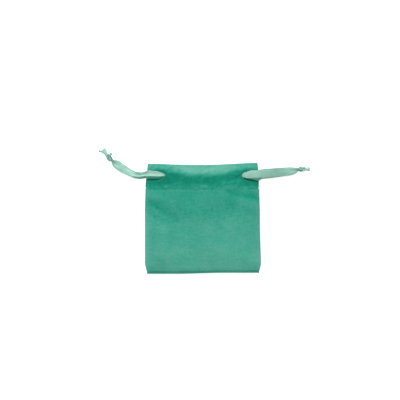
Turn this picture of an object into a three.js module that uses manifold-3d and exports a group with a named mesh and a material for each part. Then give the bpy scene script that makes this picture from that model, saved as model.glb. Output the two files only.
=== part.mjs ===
// A small drawstring gift pouch, lying flat on its back.
//
// Units are millimetres. X runs across the pouch, Y from the closed foot (-Y) to the open mouth (+Y), and Z up
// through its thickness. The origin is under the middle of the pouch, on the surface that it lies on.
//
// Two cloth panels are sewn together down both sides and along the foot. At the mouth each is folded in on itself
// and stitched, which leaves a hem with a hollow channel. Two ribbons run round the whole channel in opposite
// directions. Each one leaves through a slit in front and a slit behind, and its two ends are knotted together.
// Pulling the left ribbon draws the right corner of the mouth inwards, and the right ribbon draws in the left one.

import * as THREE from "three";
import { mergeVertices } from "three/addons/utils/BufferGeometryUtils.js";
import Module from "manifold-3d";

const wasm = await Module();
wasm.setup();

// ---- Driving dimensions ----

const POUCH_WIDTH = 80; // at its widest, just above the foot
const POUCH_HEIGHT = 76; // foot to folded mouth edge
const FOOT_WIDTH = 76; // across the foot, where the corners are cut off
const FOOT_CORNER = 7; // how far up the sides those cut corners reach
const SHOULDER_WIDTH = 78.6; // across the hem's stitch line
const MOUTH_WIDTH = 77.2; // across the folded mouth edge
const HEM_DEPTH = 18; // folded edge to stitch line
const MOUTH_GAP = 4.6; // between the front and back hems
const CLOTH = 0.7; // one layer
const RIBBON_WIDTH = 6;
const RIBBON_THICK = 0.3;
const RUN_WIDTH = 2.8; // a ribbon folded double along its length, inside the channel
const RUN_THICK = 0.5;
const FIT = 0.2; // clearance between a ribbon and the cloth on each side of it
const JOIN = 0.3; // gap where two solids meet
const SLIT_X = 28; // from the middle to each slit
const SLIT_Y = 30.6; // height of the slits
const THREAD = 0.3; // thread diameter
const SEAM_INSET = 2; // side and foot seam threads, in from the edge
const SIDE_SLOPE = 9; // how far in from the side seam the panels reach full height
const FOOT_SLOPE = 10; // the same, from the foot
const BODY_THICKNESS = 7.8; // over both panels, low down the pouch: the hem is thicker
const BODY_RISE_Y = 2; // above here the front panel rises to meet the hem
const SEAM_LIFT = 2; // height of the side and foot seams above the ground, low down the pouch

// ---- Levels and places that follow from them ----

const CHANNEL = RUN_THICK + 2 * FIT;
const HEM_STACK = 2 * CLOTH + CHANNEL;
const THICKNESS = 2 * HEM_STACK + MOUTH_GAP;
const MIDDLE_Z = THICKNESS / 2;
const FOOT_Y = -POUCH_HEIGHT / 2;
const MOUTH_Y = POUCH_HEIGHT / 2;
const STITCH_Y = MOUTH_Y - HEM_DEPTH;
const STITCH_ROOM = THREAD / 2 + JOIN; // the hem and the panels each stay this far from the stitch line
const HEM_FOOT_Y = STITCH_Y + STITCH_ROOM;
const CORNER_X = SLIT_X + JOIN; // where a mouth corner starts
const TIP_RADIUS = 3; // of the rounded side edge of the hem
const TIP_CENTRE_X = MOUTH_WIDTH / 2 - TIP_RADIUS;
const SLIT_END_X = TIP_CENTRE_X + 0.7; // past here the hem lies lower than the ribbon
const RUN_END_X = SLIT_END_X + JOIN;
const STRAND_START_X = RUN_END_X + JOIN;
const RUN_DEPTH = CLOTH + FIT; // from the hem's outer face to the ribbon in its channel
const RUN_Z = MIDDLE_Z - RUN_DEPTH - RUN_THICK / 2; // height of a run's middle above or below MIDDLE_Z
const RUN_SHIFT = RUN_WIDTH / 2 + JOIN; // each ribbon keeps to its own side of SLIT_Y
const CLOTH_SEGMENTS_X = 30;
const CLOTH_SEGMENTS_Y = 20;

// ---- Materials ----

const clothMaterial = new THREE.MeshStandardMaterial({ color: 0x46a38d, roughness: 0.95, metalness: 0 });
const ribbonMaterial = new THREE.MeshStandardMaterial({ color: 0x9fd3c2, roughness: 0.4, metalness: 0 });
const threadMaterial = new THREE.MeshStandardMaterial({ color: 0x2a7f6b, roughness: 0.7, metalness: 0 });

const pouch = new THREE.Group();

function place(name, geometry, material) {
  const mesh = new THREE.Mesh(geometry, material);
  mesh.name = name;
  pouch.add(mesh);
  return mesh;
}

// ---- Solids: joining and cutting ----

function toSolid(geometry) {
  const bare = new THREE.BufferGeometry().setAttribute("position", geometry.getAttribute("position").clone());
  if (geometry.index) bare.setIndex(geometry.index.clone());
  const merged = mergeVertices(bare, 1e-4);
  return new wasm.Manifold(
    new wasm.Mesh({
      numProp: 3,
      vertProperties: merged.attributes.position.array,
      triVerts: new Uint32Array(merged.index.array),
    }),
  );
}

function toGeometry(solid) {
  const { vertProperties, triVerts } = solid.getMesh();
  const geometry = new THREE.BufferGeometry();
  geometry.setAttribute("position", new THREE.BufferAttribute(new Float32Array(vertProperties), 3));
  geometry.setIndex(new THREE.BufferAttribute(new Uint32Array(triVerts), 1));
  geometry.computeVertexNormals();
  return geometry;
}

// ---- Body panels: sheets that bulge between their seams ----

function ramp(distance, length) {
  return Math.sin((Math.PI / 2) * THREE.MathUtils.clamp(distance / length, 0, 1));
}

function halfWidth(y) {
  const shoulder = THREE.MathUtils.mapLinear(y, FOOT_Y + FOOT_CORNER, STITCH_Y, POUCH_WIDTH, SHOULDER_WIDTH);
  const foot = THREE.MathUtils.mapLinear(y, FOOT_Y, FOOT_Y + FOOT_CORNER, FOOT_WIDTH, POUCH_WIDTH);
  return Math.min(shoulder, foot) / 2;
}

// How full the pouch is at a point: 0 on the side and foot seams, 1 over most of the middle.
function fullness(x, y) {
  return ramp(halfWidth(y) - Math.abs(x), SIDE_SLOPE) * ramp(y - FOOT_Y, FOOT_SLOPE);
}

// The seams lie low along the body and rise to the middle of the hem at the mouth.
function seamHeight(y) {
  return THREE.MathUtils.lerp(SEAM_LIFT, MIDDLE_Z, THREE.MathUtils.smoothstep(y, 0, STITCH_Y));
}

function frontInner(x, y) {
  const seam = seamHeight(y) + JOIN / 2;
  const rise = THREE.MathUtils.smoothstep(y, BODY_RISE_Y, STITCH_Y);
  const top = THREE.MathUtils.lerp(BODY_THICKNESS, THICKNESS, rise) - CLOTH;
  return THREE.MathUtils.lerp(seam, top, fullness(x, y));
}

function backInner(x, y) {
  const seam = seamHeight(y) - JOIN / 2;
  return THREE.MathUtils.lerp(seam, CLOTH, fullness(x, y));
}

// A box of the panel's outline, bent so that its lower face follows lowerFace(x, y).
function panelGeometry(lowerFace) {
  const geometry = new THREE.BoxGeometry(1, 1, 1, CLOTH_SEGMENTS_X, CLOTH_SEGMENTS_Y, 1);
  const position = geometry.getAttribute("position");
  for (let i = 0; i < position.count; i++) {
    const y = THREE.MathUtils.lerp(FOOT_Y, STITCH_Y - STITCH_ROOM, position.getY(i) + 0.5);
    const x = 2 * halfWidth(y) * position.getX(i);
    position.setXYZ(i, x, y, lowerFace(x, y) + CLOTH * (position.getZ(i) + 0.5));
  }
  geometry.computeVertexNormals();
  return geometry;
}

place("front_panel", panelGeometry(frontInner), clothMaterial);
place(
  "back_panel",
  panelGeometry((x, y) => backInner(x, y) - CLOTH),
  clothMaterial,
);

// ---- Hems: the cloth folded over at the mouth, between the slits ----

// The fold's section, with its open side down the pouch: outer layer, rounded fold, inner facing.
function hemSection() {
  const outer = HEM_STACK / 2;
  const inner = CHANNEL / 2;
  const foldY = MOUTH_Y - outer;
  const section = new THREE.Shape();
  section.moveTo(HEM_FOOT_Y, outer);
  section.lineTo(foldY, outer);
  section.absarc(foldY, 0, outer, Math.PI / 2, -Math.PI / 2, true);
  section.lineTo(HEM_FOOT_Y, -outer);
  section.lineTo(HEM_FOOT_Y, -inner);
  section.lineTo(foldY, -inner);
  section.absarc(foldY, 0, inner, -Math.PI / 2, Math.PI / 2, false);
  section.lineTo(HEM_FOOT_Y, inner);
  section.closePath();
  return section;
}

// A section drawn in Y and Z, extruded along X.
const alongX = new THREE.Quaternion().setFromRotationMatrix(
  new THREE.Matrix4().makeBasis(new THREE.Vector3(0, 1, 0), new THREE.Vector3(0, 0, 1), new THREE.Vector3(1, 0, 0)),
);

for (const [name, height] of [
  ["front_hem", THICKNESS - HEM_STACK / 2],
  ["back_hem", HEM_STACK / 2],
]) {
  const geometry = new THREE.ExtrudeGeometry(hemSection(), {
    depth: 2 * SLIT_X,
    bevelEnabled: false,
    curveSegments: 8,
  });
  const hem = place(name, geometry, clothMaterial);
  hem.quaternion.copy(alongX);
  hem.position.set(-SLIT_X, 0, height);
}

// ---- The hem's rounded end, shared by the mouth corners and the ribbons in them ----

// Points in X and Z round the end of the hem at +X, a given depth in from its outer face. They start above the
// middle at startX, go round the end and come back below. Z is measured from MIDDLE_Z.
function endProfile(depth, startX) {
  const points = [new THREE.Vector2(startX, MIDDLE_Z - depth)];
  const taperSteps = 6;
  for (let i = startX < CORNER_X ? 0 : 1; i <= taperSteps; i++) {
    const share = i / taperSteps;
    const x = THREE.MathUtils.lerp(CORNER_X, TIP_CENTRE_X, share);
    const z = THREE.MathUtils.lerp(TIP_RADIUS, MIDDLE_Z, (1 + Math.cos(Math.PI * share)) / 2);
    const slope = (((TIP_RADIUS - MIDDLE_Z) * Math.PI) / 2 / (TIP_CENTRE_X - CORNER_X)) * Math.sin(Math.PI * share);
    const inward = new THREE.Vector2(slope, -1).normalize().multiplyScalar(depth);
    points.push(new THREE.Vector2(x, z).add(inward));
  }
  const roundSteps = 6;
  for (let i = 1; i <= roundSteps; i++) {
    const angle = (Math.PI / 2) * (1 - i / roundSteps);
    const radius = TIP_RADIUS - depth;
    points.push(new THREE.Vector2(TIP_CENTRE_X + radius * Math.cos(angle), radius * Math.sin(angle)));
  }
  const below = points
    .slice(0, -1)
    .reverse()
    .map((p) => new THREE.Vector2(p.x, -p.y));
  return [...points, ...below];
}

// A layer round the hem's end, from one depth to another, that spans a stretch of Y.
function endLayer(outerDepth, innerDepth, startX, fromY, toY) {
  const outline = [...endProfile(outerDepth, startX), ...endProfile(innerDepth, startX).reverse()];
  const geometry = new THREE.ExtrudeGeometry(new THREE.Shape(outline), { depth: toY - fromY, bevelEnabled: false });
  geometry.rotateX(Math.PI / 2); // the section's second axis becomes Z, and the extrusion runs to -Y
  geometry.translate(0, toY, MIDDLE_Z);
  return geometry;
}

// ---- Mouth corners: hem, fold and facing from each slit to the side edge ----

// The slot that a ribbon leaves through, in the outer layer only, in front and behind.
function slitCuts(centreY) {
  const width = RUN_WIDTH + 2 * JOIN;
  const length = SLIT_END_X - CORNER_X + 1;
  return [1, -1].map((side) => {
    const cut = new THREE.BoxGeometry(length, width, MIDDLE_Z);
    cut.translate(SLIT_END_X - length / 2, centreY, MIDDLE_Z + side * (MIDDLE_Z / 2 + RUN_Z / 2));
    return toSolid(cut);
  });
}

function cornerGeometry(slitY) {
  const facingDepth = CLOTH + CHANNEL;
  const outer = slitCuts(slitY).reduce(
    (solid, cut) => solid.subtract(cut),
    toSolid(endLayer(0, CLOTH, CORNER_X, HEM_FOOT_Y, MOUTH_Y)),
  );
  const facing = toSolid(endLayer(facingDepth, HEM_STACK, CORNER_X, HEM_FOOT_Y, MOUTH_Y));
  const fold = toSolid(endLayer(0, HEM_STACK, CORNER_X, MOUTH_Y - CLOTH, MOUTH_Y));
  return toGeometry(outer.add(facing).add(fold));
}

// A half turn about the vertical through the pouch's middle line puts a right-hand piece on the left.
const otherSide = new THREE.Quaternion().setFromAxisAngle(new THREE.Vector3(0, 1, 0), Math.PI);

function turnToLeft(mesh) {
  mesh.quaternion.premultiply(otherSide);
  mesh.position.set(0, 0, THICKNESS);
}

const LEFT_RUN_Y = SLIT_Y + RUN_SHIFT;
const RIGHT_RUN_Y = SLIT_Y - RUN_SHIFT;

place("right_mouth_corner", cornerGeometry(RIGHT_RUN_Y), clothMaterial);
turnToLeft(place("left_mouth_corner", cornerGeometry(LEFT_RUN_Y), clothMaterial));

// ---- Ribbons inside the channel: a long hairpin that turns round in the far corner ----

function channelRun(centreY) {
  const half = RUN_WIDTH / 2;
  return endLayer(RUN_DEPTH, RUN_DEPTH + RUN_THICK, -RUN_END_X, centreY - half, centreY + half);
}

place("left_ribbon_loop", channelRun(LEFT_RUN_Y), ribbonMaterial);
turnToLeft(place("right_ribbon_loop", channelRun(RIGHT_RUN_Y), ribbonMaterial));

// ---- Threads and free ribbons: sections swept along a route ----

function between(from, to, steps, at) {
  return Array.from({ length: steps + 1 }, (_, i) => at(THREE.MathUtils.lerp(from, to, i / steps)));
}

// A route that keeps whatever is swept along it level across, however it climbs and turns.
class LevelRoute extends THREE.CatmullRomCurve3 {
  computeFrenetFrames(steps) {
    const up = new THREE.Vector3(0, 0, 1);
    const tangents = between(0, 1, steps, (share) => this.getTangentAt(share));
    const binormals = tangents.map((tangent) => new THREE.Vector3().crossVectors(up, tangent).normalize());
    const normals = tangents.map((tangent, i) => new THREE.Vector3().crossVectors(binormals[i], tangent));
    return { tangents, normals, binormals };
  }
}

function sweep(section, points, steps) {
  const route = new LevelRoute(points.map((p) => new THREE.Vector3(...p)));
  return new THREE.ExtrudeGeometry(section, { steps, extrudePath: route, bevelEnabled: false });
}

function roundSection(diameter, sides) {
  const corners = [];
  for (let i = 0; i < sides; i++) {
    const angle = (2 * Math.PI * i) / sides;
    corners.push(new THREE.Vector2(Math.cos(angle), Math.sin(angle)).multiplyScalar(diameter / 2));
  }
  return new THREE.Shape(corners);
}

// A flat strip's section, its width along the second axis.
function flatSection(width, thick) {
  const halfWide = width / 2;
  const halfThick = thick / 2;
  const round = Math.min(halfThick * 0.9, 0.12);
  const section = new THREE.Shape();
  section.moveTo(halfThick, -halfWide + round);
  section.lineTo(halfThick, halfWide - round);
  section.lineTo(halfThick - round, halfWide);
  section.lineTo(-halfThick + round, halfWide);
  section.lineTo(-halfThick, halfWide - round);
  section.lineTo(-halfThick, -halfWide + round);
  section.lineTo(-halfThick + round, -halfWide);
  section.lineTo(halfThick - round, -halfWide);
  section.closePath();
  return section;
}

// ---- Seam threads ----

const threadSection = roundSection(THREAD, 8);
const SEAM_STEPS = 16;

// Inside the pouch, along the crease where the front and back panels meet.
function creaseHeight(x, y) {
  return (frontInner(x, y) + backInner(x, y)) / 2;
}

for (const [name, side] of [
  ["left_seam_thread", -1],
  ["right_seam_thread", 1],
]) {
  const points = between(FOOT_Y + FOOT_CORNER, STITCH_Y - 1, SEAM_STEPS, (y) => {
    const x = side * (halfWidth(y) - SEAM_INSET);
    return [x, y, creaseHeight(x, y)];
  });
  place(name, sweep(threadSection, points, SEAM_STEPS), threadMaterial);
}

const footSeamY = FOOT_Y + SEAM_INSET;
const footSeamEnd = FOOT_WIDTH / 2 - 2 * SEAM_INSET;
place(
  "foot_seam_thread",
  sweep(
    threadSection,
    between(-footSeamEnd, footSeamEnd, SEAM_STEPS, (x) => [x, footSeamY, creaseHeight(x, footSeamY)]),
    SEAM_STEPS,
  ),
  threadMaterial,
);

// The stitch line across each hem, flush with the cloth on each side of it.
const hemThreadEnd = SHOULDER_WIDTH / 2 - 1;
for (const [name, height] of [
  ["front_hem_thread", (x) => frontInner(x, STITCH_Y) + CLOTH - THREAD],
  ["back_hem_thread", (x) => backInner(x, STITCH_Y) - CLOTH + THREAD],
]) {
  const points = between(-hemThreadEnd, hemThreadEnd, SEAM_STEPS, (x) => [x, STITCH_Y, height(x)]);
  place(name, sweep(threadSection, points, 2 * SEAM_STEPS), threadMaterial);
}

// ---- Free ribbon ends: from each slit over the side, down to the ground and into the knot ----

const RUN_TOP_Z = MIDDLE_Z + RUN_Z;
const RUN_LOW_Z = MIDDLE_Z - RUN_Z;
const strandSection = flatSection(RIBBON_WIDTH, RIBBON_THICK);
const STRAND_STEPS = 16;

const strandRoutes = {
  left_ribbon_front_end: [
    [-36.9, 30.4, 8.05],
    [-38.6, 30.2, 7.9],
    [-40.5, 29.7, 7.3],
    [-42.3, 29.3, 6.3],
    [-44.2, 29.1, 5.1],
    [-46.2, 29.4, 3.9],
    [-48.2, 30.1, 2.9],
    [-51, 31.6, 2],
    [-54.2, 33.5, 1.5],
    [-57.6, 35.7, 1.4],
    [-60.8, 38.1, 1.5],
    [-62.9, 39.9, 1.7],
  ],
  left_ribbon_back_end: [
    [-36.9, 31.1, 1.15],
    [-38.6, 30.9, 0.9],
    [-40.5, 30.6, 0.6],
    [-42.3, 30.3, 0.4],
    [-44.2, 30.2, 0.3],
    [-46.2, 30.2, 0.3],
    [-48.2, 30.6, 0.3],
    [-51, 31.8, 0.3],
    [-54.2, 33.7, 0.3],
    [-57.6, 35.8, 0.4],
    [-60.8, 38.1, 0.6],
    [-62.9, 39.9, 0.9],
  ],
  right_ribbon_front_end: [
    [36.9, 30.2, 8.05],
    [38.6, 30.5, 7.9],
    [40.5, 30.8, 7.3],
    [42.4, 31.1, 6.3],
    [44.4, 31.3, 5.1],
    [46.6, 31.5, 3.9],
    [49, 31.7, 2.8],
    [52.4, 32, 1.9],
    [56, 32.4, 1.5],
    [59.6, 32.8, 1.4],
    [62.6, 33.3, 1.5],
    [65, 33.9, 1.7],
  ],
  right_ribbon_back_end: [
    [36.9, 29.9, 1.15],
    [38.6, 30.2, 0.9],
    [40.5, 30.4, 0.6],
    [42.4, 30.6, 0.4],
    [44.4, 30.8, 0.3],
    [46.6, 31, 0.3],
    [49, 31.3, 0.3],
    [52.4, 31.7, 0.3],
    [56, 32.2, 0.3],
    [59.6, 32.7, 0.4],
    [62.6, 33.2, 0.6],
    [65, 33.8, 0.9],
  ],
};
for (const [name, points] of Object.entries(strandRoutes)) {
  place(name, sweep(strandSection, points, STRAND_STEPS), ribbonMaterial);
}

// ---- Knots, and the cut tails that stand out of them ----

const KNOT_LENGTH = 5.2;
const KNOT_WIDTH = 4.4;
const KNOT_HEIGHT = 3.2;
const TAIL_WIDTH = 3.2;
const tailSection = flatSection(TAIL_WIDTH, 2 * RIBBON_THICK);

// direction is the way that the ribbon runs into the knot, in degrees from +X.
function knotAt(name, x, y, direction) {
  const geometry = new THREE.SphereGeometry(0.5, 16, 10);
  geometry.scale(KNOT_LENGTH, KNOT_WIDTH, KNOT_HEIGHT);
  const knot = place(name, geometry, ribbonMaterial);
  knot.position.set(x, y, KNOT_HEIGHT / 2);
  knot.rotation.z = THREE.MathUtils.degToRad(direction);
}

knotAt("left_knot", -65.4, 42.9, 130);
knotAt("right_knot", 68.2, 34.3, 8);

const tailRoutes = {
  left_tail_upper: [
    [-67.5, 45.7, 2.2],
    [-68.8, 46.9, 1.9],
    [-70.2, 48, 1.5],
  ],
  left_tail_lower: [
    [-67.8, 44.8, 1],
    [-70.2, 45.8, 0.8],
    [-72.8, 46.5, 0.5],
  ],
  right_tail_upper: [
    [71.2, 34.6, 2.2],
    [72.3, 34.7, 1.9],
    [73.3, 34.7, 1.5],
  ],
  right_tail_lower: [
    [71.2, 34.4, 1],
    [72.7, 34.7, 0.8],
    [74.3, 35.1, 0.5],
  ],
};
for (const [name, points] of Object.entries(tailRoutes)) {
  place(name, sweep(tailSection, points, 4), ribbonMaterial);
}

export default pouch;
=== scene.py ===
# A small drawstring gift pouch of brushed cloth with satin ribbons, built around the imported CAD model.
#
# Shapes are worked out in millimetres, and add_piece() turns them into metres. X runs across the pouch, Y
# from its closed foot to its open mouth, and Z up out of its front. side is -1 for the left half and 1 for
# the right. Each cloth piece is two halves that meet at X = 0.

import math

import bmesh
import bpy
import numpy as np
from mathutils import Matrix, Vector


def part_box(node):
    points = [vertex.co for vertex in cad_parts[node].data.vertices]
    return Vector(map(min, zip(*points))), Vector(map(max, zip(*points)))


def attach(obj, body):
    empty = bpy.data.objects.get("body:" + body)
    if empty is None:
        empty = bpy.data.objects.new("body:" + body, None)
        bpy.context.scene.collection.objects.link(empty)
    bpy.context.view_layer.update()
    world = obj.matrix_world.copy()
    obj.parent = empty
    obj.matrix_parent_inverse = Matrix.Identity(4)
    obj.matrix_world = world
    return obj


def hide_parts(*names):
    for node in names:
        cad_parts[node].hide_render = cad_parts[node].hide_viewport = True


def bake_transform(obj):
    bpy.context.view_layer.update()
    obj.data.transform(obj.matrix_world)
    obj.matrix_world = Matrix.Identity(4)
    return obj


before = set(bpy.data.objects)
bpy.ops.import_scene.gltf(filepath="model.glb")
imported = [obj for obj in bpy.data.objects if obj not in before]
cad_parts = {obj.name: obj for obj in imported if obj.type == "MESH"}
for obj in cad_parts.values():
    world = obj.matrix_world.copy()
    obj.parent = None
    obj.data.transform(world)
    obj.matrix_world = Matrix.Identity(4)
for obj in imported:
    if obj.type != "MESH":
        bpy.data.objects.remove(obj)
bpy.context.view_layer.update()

MM = 0.001
SIDES = {"left": -1, "right": 1}


def box_mm(node):
    low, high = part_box(node)
    return np.array(low) / MM, np.array(high) / MM


# ---- Sizes that come from the CAD model ----

panel_low, panel_high = box_mm("front_panel")
hem_low, hem_high = box_mm("front_hem")
corner_high = box_mm("right_mouth_corner")[1]

FOOT_Y = panel_low[1]
STITCH_Y = (panel_high[1] + hem_low[1]) / 2
MOUTH_Y = hem_high[1]
HEM_TOP_Z = hem_high[2]
HEM_STACK = hem_high[2] - hem_low[2]
MIDDLE_Z = HEM_TOP_Z / 2
SEAM_LOW_Z = panel_low[2]
WIDEST = panel_high[0]
SLIT_X = hem_high[0]
TIP_X = corner_high[0]

# ---- Sizes of the sewn cloth and the ribbons ----

CLOTH = 0.7
BODY_Z = 7.0
SHOULDER_Z = HEM_TOP_Z - 1.0
BODY_RISE = (-12.0, STITCH_Y)
SEAM_RISE = (0.0, STITCH_Y)
SIDE_ROLL = (5.0, 8.5)
FOOT_ROLL = 3.4
SEAM_INSET = 0.25
FOOT_CORNER = 7.0
CORNER_SHARPNESS = 4
CLOTH_STEP = 0.5
FLOOR_GAP = 0.02
RIBBON_THICK = 0.22
INNER_WIDTH = 4.4
RUN_Y = 31.0
RUN_Z = {-1: 8.2, 1: 7.85}
SLIT_POINT_X = 26.3
SLIT_Y = {-1: 31.1, 1: 30.7}

# How far the cloth reaches from the middle at some heights. The pouch isn't sewn quite evenly.
BODY_REACH = {
    -1: ((-31, 40.8), (-20, 40.8), (5, 40.8), (20, 40.2)),
    1: ((-31, 40.2), (-20, 39.7), (-8, 39.3), (5, 39.2), (20, 38.6)),
}
FOOT_REACH = {-1: 38.9, 1: 38.4}
HEM_REACH = {
    -1: ((20, 40.0), (24, 39.8), (26, 39.5), (33, 38.75), (38, 38.6)),
    1: ((20, 38.1), (24, 38.0), (26, 37.95), (33, 37.6), (38, 37.5)),
}

# The upper and lower edges of each ribbon where it lies on the hem, by distance from the middle.
RIBBON_TOP = {
    -1: ((26.3, 30.8), (28.2, 31.6), (30.1, 32.1), (32, 32.5), (34.2, 32.8), (39, 33.1)),
    1: ((26.3, 30.6), (27.4, 31.6), (28.6, 32.2), (31.7, 32.8), (37.6, 33.0)),
}
RIBBON_LOW = {
    -1: ((26.3, 30.6), (27.3, 29.6), (30.1, 28.7), (32, 28.0), (34.2, 27.5), (39, 27.3)),
    1: ((26.3, 30.2), (27.4, 28.9), (28.6, 28.2), (31.8, 27.6), (34.5, 26.8), (37.6, 26.1)),
}


# ---- Camera: straight above, with the mouth at the top of the picture ----

VIEW_WIDTH = 276.8
VIEW_CENTRE = (-2.4, 12.8)
LENS = 100.0
SENSOR = 36.0


def add_camera():
    data = bpy.data.cameras.new("camera")
    data.lens = LENS
    data.sensor_width = SENSOR
    camera = bpy.data.objects.new("camera", data)
    bpy.context.scene.collection.objects.link(camera)
    height = MIDDLE_Z + VIEW_WIDTH * LENS / SENSOR
    camera.location = Vector((*VIEW_CENTRE, height)) * MM
    bpy.context.scene.camera = camera


add_camera()

# ---- Numbers that vary over a surface ----


def smooth(low, high, value):
    """Goes from 0 to 1 between low and high, and levels out at both."""
    share = np.clip((value - low) / (high - low), 0, 1)
    return share * share * (3 - 2 * share)


def mix(a, b, share):
    return a + (b - a) * share


def hump(value, centre, width):
    """Goes up to 1 at the centre and dies away on both sides."""
    return np.exp(-(((value - centre) / width) ** 2))


def along_table(rows, value):
    """Reads a short table of (place, size) rows at value."""
    places, sizes = zip(*rows)
    return np.interp(value, places, sizes)


WAVE_SPREAD = (0.6, 1.6)


def waves(x, y, wavelength, seed, long_y=1.0, count=14):
    """Smooth irregular waves of about that wavelength, mostly from -1 to 1. long_y stretches them along Y."""
    chance = np.random.default_rng(seed)
    total = np.zeros(np.broadcast(x, y).shape)
    for _ in range(count):
        angle, phase = chance.uniform(0, 2 * math.pi, 2)
        turns = 2 * math.pi / (wavelength * chance.uniform(*WAVE_SPREAD))
        total += np.sin(turns * (x * math.cos(angle) + y * math.sin(angle) / long_y) + phase)
    return total / math.sqrt(count)


def unit(vectors):
    return vectors / np.linalg.norm(vectors, axis=-1, keepdims=True)


def distance_along(line):
    """The distance from a line's first point to each of its points."""
    return np.concatenate([[0], np.cumsum(np.linalg.norm(np.diff(line, axis=0), axis=1))])


# ---- Making meshes ----


def add_piece(name, points, faces, material, sharp=50, strip=None, shade=None):
    """Links a closed mesh. points are in mm. strip gives each point's place along and across a ribbon, in mm.
    shade gives each point's place, from 0 to 1, on its material's scale of painted light and shade, which on
    the ribbons ends in their dull reverse."""
    mesh = bpy.data.meshes.new(name)
    mesh.from_pydata((points * MM).tolist(), [], faces)
    mesh.validate()
    form = bmesh.new()
    form.from_mesh(mesh)
    bmesh.ops.recalc_face_normals(form, faces=form.faces)
    form.to_mesh(mesh)
    form.free()
    mesh.shade_smooth()
    mesh.set_sharp_from_angle(angle=math.radians(sharp))
    if strip is not None:
        layer = mesh.uv_layers.new(name="strip")
        corners = np.zeros(len(mesh.loops), int)
        mesh.loops.foreach_get("vertex_index", corners)
        layer.data.foreach_set("uv", strip[corners].astype(np.float32).ravel())
    rest = mesh.attributes.new("rest_place", "FLOAT_VECTOR", "POINT")
    rest.data.foreach_set("vector", (points * MM).astype(np.float32).ravel())
    if shade is not None:
        layer = mesh.attributes.new("shade", "FLOAT", "POINT")
        layer.data.foreach_set("value", np.clip(shade, 0, 1).astype(np.float32).ravel())
    piece = bpy.data.objects.new(name, mesh)
    bpy.context.scene.collection.objects.link(piece)
    piece.data.materials.append(material)
    return piece


def grid_faces(rows, columns, start=0, turned=False):
    faces = []
    for i in range(rows - 1):
        for j in range(columns - 1):
            a = start + i * columns + j
            face = (a, a + columns, a + columns + 1, a + 1)
            faces.append(face[::-1] if turned else face)
    return faces


def shell_mesh(outer, inner):
    """A closed skin between two grids of the same size."""
    rows, columns = outer.shape[:2]
    size = rows * columns
    faces = grid_faces(rows, columns) + grid_faces(rows, columns, size, turned=True)
    index = np.arange(size).reshape(rows, columns)
    rim = np.concatenate([index[0], index[1:, -1], index[-1, -2::-1], index[-2:0:-1, 0]]).tolist()
    for a, b in zip(rim, rim[1:] + rim[:1]):
        faces.append((a, b, b + size, a + size))
    return np.concatenate([outer.reshape(-1, 3), inner.reshape(-1, 3)]), faces


def tube_mesh(rings, capped=True):
    """A closed skin over rings of points, which meet end to start where it isn't capped."""
    count, around = rings.shape[:2]
    faces = []
    for i in range(count - 1 if capped else count):
        for j in range(around):
            a, b = i * around + j, i * around + (j + 1) % around
            c, d = (a + around) % (count * around), (b + around) % (count * around)
            faces.append((a, b, d, c))
    if capped:
        faces.append(tuple(range(around))[::-1])
        faces.append(tuple((count - 1) * around + j for j in range(around)))
    return rings.reshape(-1, 3), faces


def ring_points(line, wide, up, offsets, rises):
    """Rings of points round a line. offsets and rises say how far out each is along wide and up."""
    return line[:, None] + wide[:, None] * offsets[..., None] + up[:, None] * rises[..., None]


def joined(meshes):
    """Several meshes as one."""
    points, faces, start = [], [], 0
    for more_points, more_faces in meshes:
        points.append(more_points)
        faces += [tuple(i + start for i in face) for face in more_faces]
        start += len(more_points)
    return np.concatenate(points), faces


def grid_normals(grid):
    """Unit normals of a grid of points, pointing to the left of rows crossed with columns."""
    along = np.gradient(grid, axis=0)
    across = np.gradient(grid, axis=1)
    return unit(np.cross(along, across))


# ---- Materials ----

# The cloth's green: deep painted shade at 0, its own colour in the middle and a pale painted sheen at 1.
PILE_SHADE_TO_SHEEN = (
    (0.0, (0.002, 0.175, 0.11)),
    (0.25, (0.006, 0.232, 0.155)),
    (0.5, (0.036, 0.276, 0.2)),
    (0.75, (0.08, 0.325, 0.248)),
    (1.0, (0.13, 0.375, 0.302)),
)
SATIN_COLOURS = ((0.5, (0.22, 0.45, 0.367)), (0.75, (0.278, 0.525, 0.435)), (1.0, (0.342, 0.606, 0.51)))
# Painted shade for satin whose gloss is turned away, and its dull reverse darkened further with painted
# shade.
SATIN_PAINTED_SHADE = (0.12, 0.27, 0.215, 1)
SATIN_REVERSE_IN_SHADE = (0.03, 0.28, 0.19, 1)
THREAD_COLOURS = ((0.3, (0.025, 0.23, 0.165)), (0.7, (0.06, 0.31, 0.235)))


def new_material(name):
    material = bpy.data.materials.new(name)
    material.use_nodes = True
    nodes = material.node_tree.nodes
    return material, nodes, material.node_tree.links, nodes["Principled BSDF"]


def set_look(shader, look):
    for name, value in look.items():
        shader.inputs[name].default_value = value


def noise_node(nodes, links, vector, scale, detail=3.0, roughness=0.5, stretch=(1, 1, 1)):
    mapping = nodes.new("ShaderNodeMapping")
    mapping.inputs["Scale"].default_value = stretch
    links.new(vector, mapping.inputs["Vector"])
    noise = nodes.new("ShaderNodeTexNoise")
    noise.inputs["Scale"].default_value = scale
    noise.inputs["Detail"].default_value = detail
    noise.inputs["Roughness"].default_value = roughness
    links.new(mapping.outputs["Vector"], noise.inputs["Vector"])
    return noise.outputs["Fac"]


def ramp_node(nodes, links, factor, stops):
    ramp = nodes.new("ShaderNodeValToRGB")
    elements = ramp.color_ramp.elements
    while len(elements) < len(stops):
        elements.new(0.5)
    for element, (place, colour) in zip(elements, stops):
        element.position = place
        element.color = (*colour, 1)
    links.new(factor, ramp.inputs["Fac"])
    return ramp.outputs["Color"]


def set_socket(links, socket, value):
    if isinstance(value, bpy.types.NodeSocket):
        links.new(value, socket)
    else:
        socket.default_value = value


def mix_node(nodes, links, factor, a, b):
    node = nodes.new("ShaderNodeMix")
    node.data_type = "RGBA"
    for name, value in (("Factor", factor), ("A", a), ("B", b)):
        set_socket(links, next(s for s in node.inputs if s.name == name and s.enabled), value)
    return next(s for s in node.outputs if s.enabled)


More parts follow.
